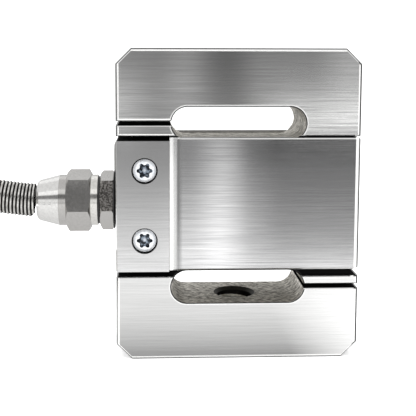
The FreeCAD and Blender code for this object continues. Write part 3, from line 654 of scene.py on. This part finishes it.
def cover_edges(shader):
    """A painted dark line along the rim, a painted highlight on the slope at the left, and painted shade on the
    fold at its top, stronger higher up.
    """
    past_ramp = shader.over(shader.x, COVER_RAMP_TOP, 0.2)
    # The painted dark line along the rim, except on the slope.
    shader.layer(shader.both(shader.rim, past_ramp), RIM_SHADE, 0.4)
    outer = shader.both(shader.bevel, shader.over(shader.depth, 10.42, 0.03), past_ramp)
    # A painted dark line on the outermost part of the bevels.
    shader.layer(outer, (0.12, 0.12, 0.12), 0.35)
    ramp = shader.under(shader.x, -14.9, 0.1)
    # A painted highlight on the slope's bevel, toned down to grey between its foot and its top.
    shader.layer(shader.both(shader.bevel, ramp), (0.9, 0.9, 0.89), 0.2, 0.5)
    upper_ramp = shader.both(shader.bevel, ramp, shader.over(shader.x, COVER_RAMP_FOOT, 0.25))
    shader.layer(upper_ramp, (0.62, 0.62, 0.615), 0.25, 0.9)
    fold = shader.both(*shader.window(shader.x, -15.2, 0.35, -14.2, 0.5), shader.over(shader.depth, 10.3, 0.05))
    # Painted shade on the fold, stronger higher up.
    shader.layer(shader.both(fold, shader.spread(shader.z, -2.0, 38.0)), (0.3, 0.3, 0.3), 0.3)


def cover_steel():
    """The cover's front edges are rolled over, which its bump shows beyond the solid's bevel. Its colour carries
    painted shade in the gaps and over its upper right, painted light on its inner faces, and a painted highlight
    and dark line on its right edge.
    """
    shader = brushed_steel("cover_steel_finish", (0.74, 0.74, 0.74), (0.46, 0.46, 0.465), 0.13, 10.14)
    cover_edges(shader)
    over_slot = shader.both(*shader.window(shader.x, -17.0, 0.2, 16.4, 0.3), shader.over(shader.z, 40.0, 1.0))
    # Painted shade on the faces that look up or down, in the gaps, except above the slot.
    gap_shade = shader.both(shader.over(shader.leans[2], 0.8, 0.1), shader.calc("SUBTRACT", 1.0, over_slot))
    shader.layer(gap_shade, (0.05, 0.05, 0.05), 0.6)
    face = shader.over(shader.leans[1], *FLAT)
    # A painted dark reflection over the upper right of the front face.
    corner = shader.both(shader.over(shader.z, 51.5, 4.0), shader.over(shader.x, 4.0, 5.0), face)
    shader.colour = shader.mix(shader.calc("MULTIPLY", corner, 0.9), shader.colour, (0.15, 0.15, 0.15))
    # Painted light on the faces behind the front.
    inside = shader.both(face, shader.under(shader.depth, 9.8, 0.1))
    shader.layer(inside, (0.8, 0.8, 0.79), 0.4)
    # A painted highlight on the rounding of the right edge.
    turn = shader.both(shader.over(shader.x, COVER_TURN, 0.1), shader.under(shader.leans[0], 0.9, 0.02))
    shader.layer(turn, LIP_HIGHLIGHT, 0.25, 0.3)
    # A painted dark line on the outer side of that rounding.
    outline = shader.both(turn, shader.over(shader.x, COVER_OUTLINE, 0.04))
    shader.layer(outline, (0.06, 0.06, 0.06), 0.4, 1.0)
    edge = shader.spread(shader.x, 28.5, 29.6)
    rolled = shader.calc("MULTIPLY", shader.calc("MULTIPLY", edge, edge), -10.0)
    shader.close(shader.calc("ADD", shader.streak, rolled), BRUSH_DEPTH, BRUSH_STRENGTH)
    return shader


def tab_steel():
    """The tab's cut edge is dull, with black painted shade on it beside the gland."""
    shader = brushed_steel("tab_steel_finish", (0.66, 0.66, 0.66), (0.5, 0.5, 0.5), 0.24, 0.0)
    edge = shader.under(shader.leans[0], 0.5, 0.1)
    shader.layer(edge, (0.36, 0.36, 0.35), 0.5)
    # Black painted shade on the cut edge beside the gland.
    shader.layer(shader.both(edge, shader.under(shader.from_middle(), 8.3, 0.3)), BLACK_SHADE, 0.6)
    return finish_brushed(shader, rim=False)


def screw_distance(shader):
    """How far a place is from the nearer screw's axis, in mm."""
    distances = []
    for name in ("entry_screw_front_lower", "entry_screw_front_upper"):
        low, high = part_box(name)
        middle = (low + high) / 2 / MM
        aside = shader.calc("SUBTRACT", shader.x, middle.x)
        rise = shader.calc("SUBTRACT", shader.z, middle.z)
        distances.append(shader.calc("SQRT", shader.squares(aside, rise)))
    return shader.calc("MINIMUM", *distances)


def block_steel():
    """Brushed, with dull counterbores that carry painted shade, grey on their walls and black on their floors, and
    painted shade on the upper and lower ends.
    """
    shader = brushed_steel("block_steel_finish", (0.72, 0.72, 0.72), (0.58, 0.58, 0.58), 0.15, 9.3)
    away = screw_distance(shader)
    # Painted shade in the counterbores: grey on the walls, black on the floors.
    sunk = shader.both(shader.under(away, 3.3, 0.04), shader.under(shader.depth, 9.88, 0.01))
    shader.layer(sunk, (0.34, 0.34, 0.345), 0.4)
    shader.layer(shader.both(sunk, shader.over(shader.leans[1], 0.7, 0.1)), BLACK_SHADE, 0.7)
    # Painted shade on the upper and lower ends, in the gaps.
    shader.layer(shader.over(shader.leans[2], 0.8, 0.1), (0.05, 0.05, 0.05), 0.6)
    return finish_brushed(shader)


def screw_steel():
    """Zinc-plated heads, bright on the rim and crown, with painted shade flecked with a blue-grey painted
    reflection down in the recess, a painted highlight at its middle, and black painted shade on the heads' sides.
    """
    shader = Shader("screw_steel_finish", Metallic=0.4)
    depth = shader.calc("ABSOLUTE", shader.y)
    away = screw_distance(shader)
    lines = shader.grains(2200.0)
    spots = shader.grains(900.0)
    shader.base(shader.mix(shader.spread(spots, 0.4, 0.65), (0.93, 0.94, 0.96), (0.78, 0.81, 0.85)),
                shader.spread(lines, 0.3, 0.7, 0.3, 0.45))
    # Painted shade, flecked with a blue-grey painted reflection, down in the recess.
    recess = shader.both(shader.under(away, 2.1, 0.05), shader.under(depth, 9.34, 0.04))
    dark = shader.mix(shader.spread(spots, 0.48, 0.58), (0.006, 0.012, 0.02), (0.3, 0.36, 0.44))
    shader.layer(recess, dark, 0.22)
    # A painted highlight at the middle of the recess.
    shader.layer(shader.both(recess, shader.under(away, 0.4, 0.2)), (0.6, 0.64, 0.7), 0.3)
    # Black painted shade on the heads' sides.
    side = shader.both(shader.over(away, 2.8, 0.02), shader.under(shader.leans[1], 0.5, 0.1))
    shader.layer(side, BLACK_SHADE, 0.6)
    shader.close(lines, 0.00002, 0.3)
    return shader


def plain_metal(name, colour, roughness, turned=False, speckle=0.1):
    """Metal with a fine grain, or with the lines of a lathe about X, and slightly darker spots."""
    shader = Shader(name, Metallic=1.0)
    if turned:
        tangent = shader.node("Tangent", direction_type="RADIAL", axis="X").outputs[0]
        shader.set(Anisotropic=0.4, Tangent=tangent)
        lines = shader.noise((3600.0, 40.0, 40.0), 2.0, 0.6)
    else:
        lines = shader.grains(2600.0)
    spots = shader.grains(1400.0, 4.0, 0.65)
    spotted = tuple(part * (1 - 2 * speckle) for part in colour)
    shader.base(shader.mix(shader.spread(spots, 0.42, 0.62), colour, spotted),
                shader.spread(lines, 0.3, 0.7, roughness - 0.05, roughness + 0.07))
    shader.close(lines, 0.00001, 0.25)
    return shader


def speckled_flats():
    """Nickel over a cast hexagon, whose front and back flats are dark and grainy."""
    shader = Shader("gland_body_finish", Metallic=1.0)
    lines = shader.grains(2600.0)
    shader.base(NICKEL, shader.spread(lines, 0.3, 0.7, 0.12, 0.22))
    grains = shader.grains(2400.0, 3.0, 0.7)
    dark = shader.mix(shader.spread(grains, 0.42, 0.62), (0.07, 0.065, 0.06), (0.42, 0.4, 0.38))
    shader.layer(shader.over(shader.leans[1], 0.92, 0.02), dark, 0.34)
    shader.close(grains, 0.00003, 0.4)
    return shader


def dull(name, colour, roughness, grain=1500.0, depth=0.00003):
    """Rubber, plastic, film and lacquer: a fine grain and a slight change of colour."""
    shader = Shader(name)
    grains = shader.grains(grain, 4.0)
    clouds = shader.grains(160.0)
    paler = tuple(min(1.0, part * 1.25 + 0.01) for part in colour)
    shader.base(shader.mix(shader.spread(clouds, 0.35, 0.65), colour, paler),
                shader.spread(grains, 0.3, 0.7, roughness - 0.08, roughness + 0.08))
    shader.close(grains, depth, 0.4)
    return shader


def hose_steel():
    """Bright bands with painted shade in the grooves; the grooves come from the hose's own groove values."""
    shader = Shader("hose_strip_finish", Metallic=1.0)
    groove = shader.node("Attribute", attribute_name="groove").outputs["Fac"]
    spots = shader.grains(700.0)
    lines = shader.grains(2600.0)
    shader.base(shader.mix(shader.spread(spots, 0.4, 0.65), (0.74, 0.73, 0.7), (0.42, 0.41, 0.39)),
                shader.spread(lines, 0.3, 0.7, 0.14, 0.26))
    # Painted shade in the grooves.
    shader.layer(shader.spread(groove, 0.24, 0.5), (0.012, 0.011, 0.01), 0.6)
    shader.close(lines, 0.00001, 0.25)
    return shader


WIRES = {"red": (0.5, 0.02, 0.015), "black": (0.015, 0.015, 0.015), "green": (0.02, 0.25, 0.06),
         "white": (0.75, 0.75, 0.72)}


def finish_nodes():
    """Gives every solid its finish by its material's name, and returns the finishes by those names."""
    lid = brushed_steel("lid_steel_finish", (0.64, 0.64, 0.64), (0.5, 0.5, 0.5), 0.26, 0.0)
    collar = plain_metal("gland_collar_finish", (0.72, 0.71, 0.68), 0.13, turned=True, speckle=0.05)
    socket = plain_metal("socket_plating_finish", (0.76, 0.755, 0.74), 0.12, turned=True, speckle=0.04)
    brass = plain_metal("brass_finish", (0.72, 0.56, 0.28), 0.28, turned=True)
    plan = {"spring_steel": spring_steel(), "cover_steel": cover_steel(), "block_steel": block_steel(),
            "tab_steel": tab_steel(), "lid_steel": finish_brushed(lid), "screw_steel": screw_steel(),
            "gland_plating": plain_metal("gland_plating_finish", NICKEL, 0.16, speckle=0.03),
            "socket_plating": socket, "end_ring_plating": socket, "brass": brass, "standoff_brass": brass,
            "hose_strip": hose_steel(),
            "black_rubber": dull("black_rubber_finish", (0.015, 0.015, 0.015), 0.6),
            "cable_sheath": dull("cable_sheath_finish", (0.03, 0.03, 0.034), 0.5),
            "board_laminate": dull("board_laminate_finish", (0.03, 0.2, 0.07), 0.35),
            "resistor_body": dull("resistor_body_finish", (0.06, 0.06, 0.07), 0.45),
            "gauge_foil": plain_metal("gauge_foil_finish", (0.75, 0.52, 0.26), 0.35),
            "link_film": dull("link_film_finish", (0.6, 0.3, 0.06), 0.3)}
    for colour, value in WIRES.items():
        plan[f"wire_{colour}"] = dull(f"wire_{colour}_finish", value, 0.4)
    for thing in NODES.values():
        for index, old in enumerate(thing.data.materials):
            thing.data.materials[index] = plan[old.name.split(".")[0]].material
    NODES["gland_collar"].data.materials[0] = collar.material
    NODES["gland_body"].data.materials[0] = speckled_flats().material
    return plan


# ---------------------------------------------------------------- stage

# The cards are flat lights that only reflections see. Brightness is 1 for plain white; the cards reach 2.2.
CARD_TOP = 2.2
CARD_SEAM = (46.0, 50.3)            # where the front card's lower field meets its upper one
LOWER_FIELD = (1.2, 0.27)           # brightness at its foot and at its top
UPPER_FIELD = (0.52, 0.28)
# Soft-edged panels on the front card: the edges in X and how soft they are, the edges in Z and how soft they are,
# and the strength. A white panel adds its strength; a black one, below zero, holds back that share of the light.
LOWER_PANELS = (
    (-300, -40, 4, -50, 130, 1, 1.0),
    (-2.5, 8.5, 4.5, -50, 130, 1, 0.5),
    (-14, 6, 5, -50, 20, 16, 0.3),
    (17, 300, 7, -50, 130, 1, -0.43),
    (14, 300, 5, 36, 130, 8, -0.35),
    (72, 300, 10, -50, 130, 1, 1.0),
)
UPPER_PANELS = (
    (-300, -70, 4, -50, 130, 1, 0.9),
    (-300, -27, 6, -50, 66, 8, 0.4),
    (-14, -6, 4, -50, 130, 1, 0.12),
    (20, 300, 8, -50, 55, 5, 1.6),
    (42, 300, 6, -50, 130, 1, 0.25),
    (-1.5, 11.5, 4, -50, 130, 1, -0.45),
    (72, 300, 10, -50, 130, 1, 0.8),
)
# The other cards' brightness at stations along one axis, in mm.
GLAND_STOPS = ((0, 1.2), (34, 1.2), (38, 0.7), (40, 1.1), (46, 0.9), (48, 0.26), (60, 0.22), (63, 1.2), (90, 1.3))
UNDER_STOPS = ((-35, 1.2), (-12, 1.05), (4, 0.8), (20, 0.6), (60, 0.9))
FOOT_STOPS = ((9, 0.45), (22, 0.8), (46, 1.2), (99, 1.4))
AROUND_STOPS = ((0, 0.3), (8, 0.42), (20, 0.66), (36, 0.8), (80, 1.0))
BACK_STOPS = ((-230, 0.7), (-60, 0.9), (-30, 0.3), (-8, 0.7), (12, 0.35), (50, 0.25), (80, 0.9), (150, 1.0))
RIGHT_STOPS = ((-100, 0.7), (-40, 0.3), (-2, 0.5), (6, 1.4), (16, 1.4), (26, 0.5), (110, 0.7))
LEFT_STOPS = ((-200, 0.9), (-60, 0.4), (-10, 0.3), (20, 0.8), (110, 0.5))
# The front, gland, back, right and left cards stand upright; the others lie flat.
FRONT_CARD = ((-140, -100, 1), (160, -100, 1), (160, -100, 130), (-140, -100, 130))
GLAND_CARD = ((-170, -35, 1), (-31.5, -35, 1), (-31.5, -35, 90), (-170, -35, 90))
UNDER_CARD = ((-84, -35, 27.5), (-31, -35, 27.5), (-31, 60, 27.5), (-84, 60, 27.5))
FOOT_CARD = ((-70, -9.7, 0.3), (-70, -99, 0.3), (150, -99, 0.3), (150, -9.7, 0.3))
RIGHT_FOOT_CARD = ((31, -9.7, 0.3), (110, -9.7, 0.3), (110, 60, 0.3), (31, 60, 0.3))
BACK_FOOT_CARD = ((-70, 9.7, 0.3), (70, 9.7, 0.3), (70, 75, 0.3), (-70, 75, 0.3))
BACK_CARD = ((-230, 110, 1), (150, 110, 1), (150, 110, 130), (-230, 110, 130))
RIGHT_CARD = ((120, -100, 1), (120, 110, 1), (120, 110, 130), (120, -100, 130))
LEFT_CARD = ((-240, -200, 1), (-240, 110, 1), (-240, 110, 130), (-240, -200, 130))


def stepped(shader, value, stops):
    """A share of the cards' top brightness that follows the stated stops of a value in mm."""
    first, last = stops[0][0], stops[-1][0]
    ramp = shader.node("ValToRGB", {0: shader.spread(value, first, last)})
    points = ramp.color_ramp.elements
    while len(points) < len(stops):
        points.new(0.5)
    for point, (at, bright) in zip(points, stops):
        point.position = (at - first) / (last - first)
        point.color = (bright / CARD_TOP,) * 3 + (1.0,)
    return ramp.outputs[0]


def glow(shader, share):
    """A card's material, from its share of the top brightness."""
    shader.set(Base_Color=(0.0, 0.0, 0.0), Specular_IOR_Level=0.0, Emission_Color=share,
               Emission_Strength=CARD_TOP)
    return shader.material


def panelled(shader, light, panels):
    """The light of one field of the front card with its panels over it."""
    for left, right, x_soft, low, high, z_soft, strength in panels:
        share = shader.both(*shader.window(shader.x, left, x_soft, right, x_soft),
                            *shader.window(shader.z, low, z_soft, high, z_soft))
        if strength > 0:
            light = shader.calc("MULTIPLY_ADD", share, strength, light)
        else:
            light = shader.calc("MULTIPLY", light, shader.calc("MULTIPLY_ADD", share, strength, 1.0))
    return light


def front_finish():
    """Two fields, one for the middle block and one for the top arm, each darker towards its top."""
    shader = Shader("front_card_finish")
    fall = shader.calc("POWER", shader.spread(shader.z, 2.0, CARD_SEAM[0], 1.0, 0.0), 1.4)
    lower = panelled(shader, shader.blend(fall, LOWER_FIELD[1], LOWER_FIELD[0]), LOWER_PANELS)
    upper = panelled(shader, shader.spread(shader.z, 56.0, 75.0, *UPPER_FIELD), UPPER_PANELS)
    whole = shader.blend(shader.spread(shader.z, *CARD_SEAM), lower, upper)
    return glow(shader, shader.calc("DIVIDE", whole, CARD_TOP))


def gland_finish():
    """White with a dark band above the gland, which its leaning flats, its cone and the hose show."""
    shader = Shader("gland_card_finish")
    return glow(shader, stepped(shader, shader.z, GLAND_STOPS))


def under_finish():
    """The shade under the gland, as its lower flats show it."""
    shader = Shader("under_card_finish")
    return glow(shader, stepped(shader, shader.y, UNDER_STOPS))


def foot_finish():
    """The floor before the block: darker near it, bright at its right end, and dark further right."""
    shader = Shader("foot_card_finish")
    shade = stepped(shader, shader.calc("MULTIPLY", shader.y, -1.0), FOOT_STOPS)
    whole = shader.mix(shader.spread(shader.x, 14.0, 34.0), shade, (0.8, 0.8, 0.8))
    return glow(shader, shader.mix(shader.spread(shader.x, 54.0, 74.0), whole, (0.26, 0.26, 0.26)))


def around_finish(name):
    """The floor's shade beside and behind the block."""
    shader = Shader(name + "_finish")
    beside = shader.calc("SUBTRACT", shader.calc("ABSOLUTE", shader.x), HALF_WIDTH)
    behind = shader.calc("SUBTRACT", shader.y, HALF_DEPTH)
    return glow(shader, stepped(shader, shader.calc("MAXIMUM", beside, behind), AROUND_STOPS))


def side_finish(name, axis, stops):
    """A card beside or behind the cell, which changes along one axis and turns grey towards its top."""
    shader = Shader(name + "_finish")
    shade = stepped(shader, shader.x if axis == "x" else shader.y, stops)
    return glow(shader, shader.mix(shader.spread(shader.z, 50.0, 130.0), shade, (0.4, 0.4, 0.4)))


def make_card(name, corners, material):
    """A flat card that the metal reflects; the camera doesn't see it."""
    mesh = bpy.data.meshes.new(name)
    mesh.from_pydata([mm(*corner) for corner in corners], [], [(0, 1, 2, 3)])
    mesh.materials.append(material)
    card = add_object(name, mesh)
    card.visible_camera = False
    card.visible_diffuse = False
    card.visible_shadow = False
    card.visible_transmission = False
    card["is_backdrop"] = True


FLOOR_HALF = 2500.0
FLOOR_BACK, FLOOR_BEND = 900.0, 500.0           # where the floor starts to curve up, and its radius
FLOOR_TOP = 3000.0
FLOOR_BEND_STEPS = 12


def make_floor():
    """A pale floor that curves up into a backdrop."""
    profile = [(-FLOOR_HALF, 0.0), (FLOOR_BACK, 0.0)]
    for step in range(1, FLOOR_BEND_STEPS + 1):
        angle = math.pi / 2 * step / FLOOR_BEND_STEPS
        profile.append((FLOOR_BACK + FLOOR_BEND * math.sin(angle), FLOOR_BEND - FLOOR_BEND * math.cos(angle)))
    profile.append((FLOOR_BACK + FLOOR_BEND, FLOOR_TOP))
    vertices = [mm(side * FLOOR_HALF, depth, height) for depth, height in profile for side in (-1, 1)]
    faces = [(2 * k, 2 * k + 1, 2 * k + 3, 2 * k + 2) for k in range(len(profile) - 1)]
    mesh = bpy.data.meshes.new("floor")
    mesh.from_pydata(vertices, [], faces)
    mesh.shade_smooth()
    shader = Shader("floor_finish", Roughness=0.9, Specular_IOR_Level=0.1)
    cloud = shader.noise((3.0, 3.0, 3.0), 2.0)
    shader.set(Base_Color=shader.mix(cloud, (0.93, 0.93, 0.93), (0.9, 0.9, 0.9)),
               Emission_Color=(1.0, 1.0, 1.0), Emission_Strength=0.25)
    mesh.materials.append(shader.material)
    add_object("floor", mesh)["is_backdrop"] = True


WORLD_STRENGTH = 0.9
# Each light's place, what it points at and its width and height in mm, and its power in watts.
LIGHTS = (("overhead", (0, -100, 900), (0, 0, 0), (900, 900), 9.0),
          ("left_front", (-700, -500, 500), (0, 0, 40), (500, 500), 3.0))


def make_light(name, place, target, size, power):
    data = bpy.data.lights.new(name, "AREA")
    data.shape = "RECTANGLE"
    data.size, data.size_y = size[0] * MM, size[1] * MM
    data.energy = power
    light = add_object(name, data)
    light.location = mm(*place)
    light.rotation_euler = (mm(*target) - mm(*place)).to_track_quat("-Z", "Y").to_euler()
    light.visible_glossy = False


def make_studio():
    world = bpy.data.worlds.new("studio")
    bpy.context.scene.world = world
    world.use_nodes = True
    background = world.node_tree.nodes["Background"]
    background.inputs[0].default_value = (1.0, 1.0, 1.0, 1.0)
    background.inputs[1].default_value = WORLD_STRENGTH
    for light in LIGHTS:
        make_light(*light)
    make_floor()
    make_card("front_card", FRONT_CARD, front_finish())
    make_card("gland_card", GLAND_CARD, gland_finish())
    make_card("under_card", UNDER_CARD, under_finish())
    make_card("foot_card", FOOT_CARD, foot_finish())
    for name, corners in (("right_foot_card", RIGHT_FOOT_CARD), ("back_foot_card", BACK_FOOT_CARD)):
        make_card(name, corners, around_finish(name))
    for name, corners, axis, stops in (("back_card", BACK_CARD, "x", BACK_STOPS),
                                       ("right_card", RIGHT_CARD, "y", RIGHT_STOPS),
                                       ("left_card", LEFT_CARD, "y", LEFT_STOPS)):
        make_card(name, corners, side_finish(name, axis, stops))
    view = bpy.context.scene.view_settings
    view.view_transform = "Standard"
    view.look = "None"


# ---------------------------------------------------------------- the whole

make_camera()
make_studio()
plan = finish_nodes()

hose, line = make_hose()
hose.data.materials.append(plan["hose_strip"].material)
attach(hose, "root")
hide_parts("conduit_hose", "conduit_coil")
tie_finish = dull("coil_tie_finish", (0.02, 0.02, 0.022), 0.75, grain=2600.0, depth=0.00008)
for tie in make_ties():
    tie.data.materials.append(tie_finish.material)
    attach(tie, "root")

tab_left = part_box("entry_tab")[0].x / MM
washer = make_ring("gland_washer", [(tab_left - beyond, radius) for beyond, radius in WASHER_PROFILE])
washer.data.materials.append(plan["black_rubber"].material)
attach(washer, "root")

thread_finish = plain_metal("thread_finish", (0.75, 0.74, 0.7), 0.3)
for name, low, high in THREADS:
    ridge = make_thread(name, low, high)
    ridge.data.materials.append(thread_finish.material)
    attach(ridge, "root")

low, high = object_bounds()
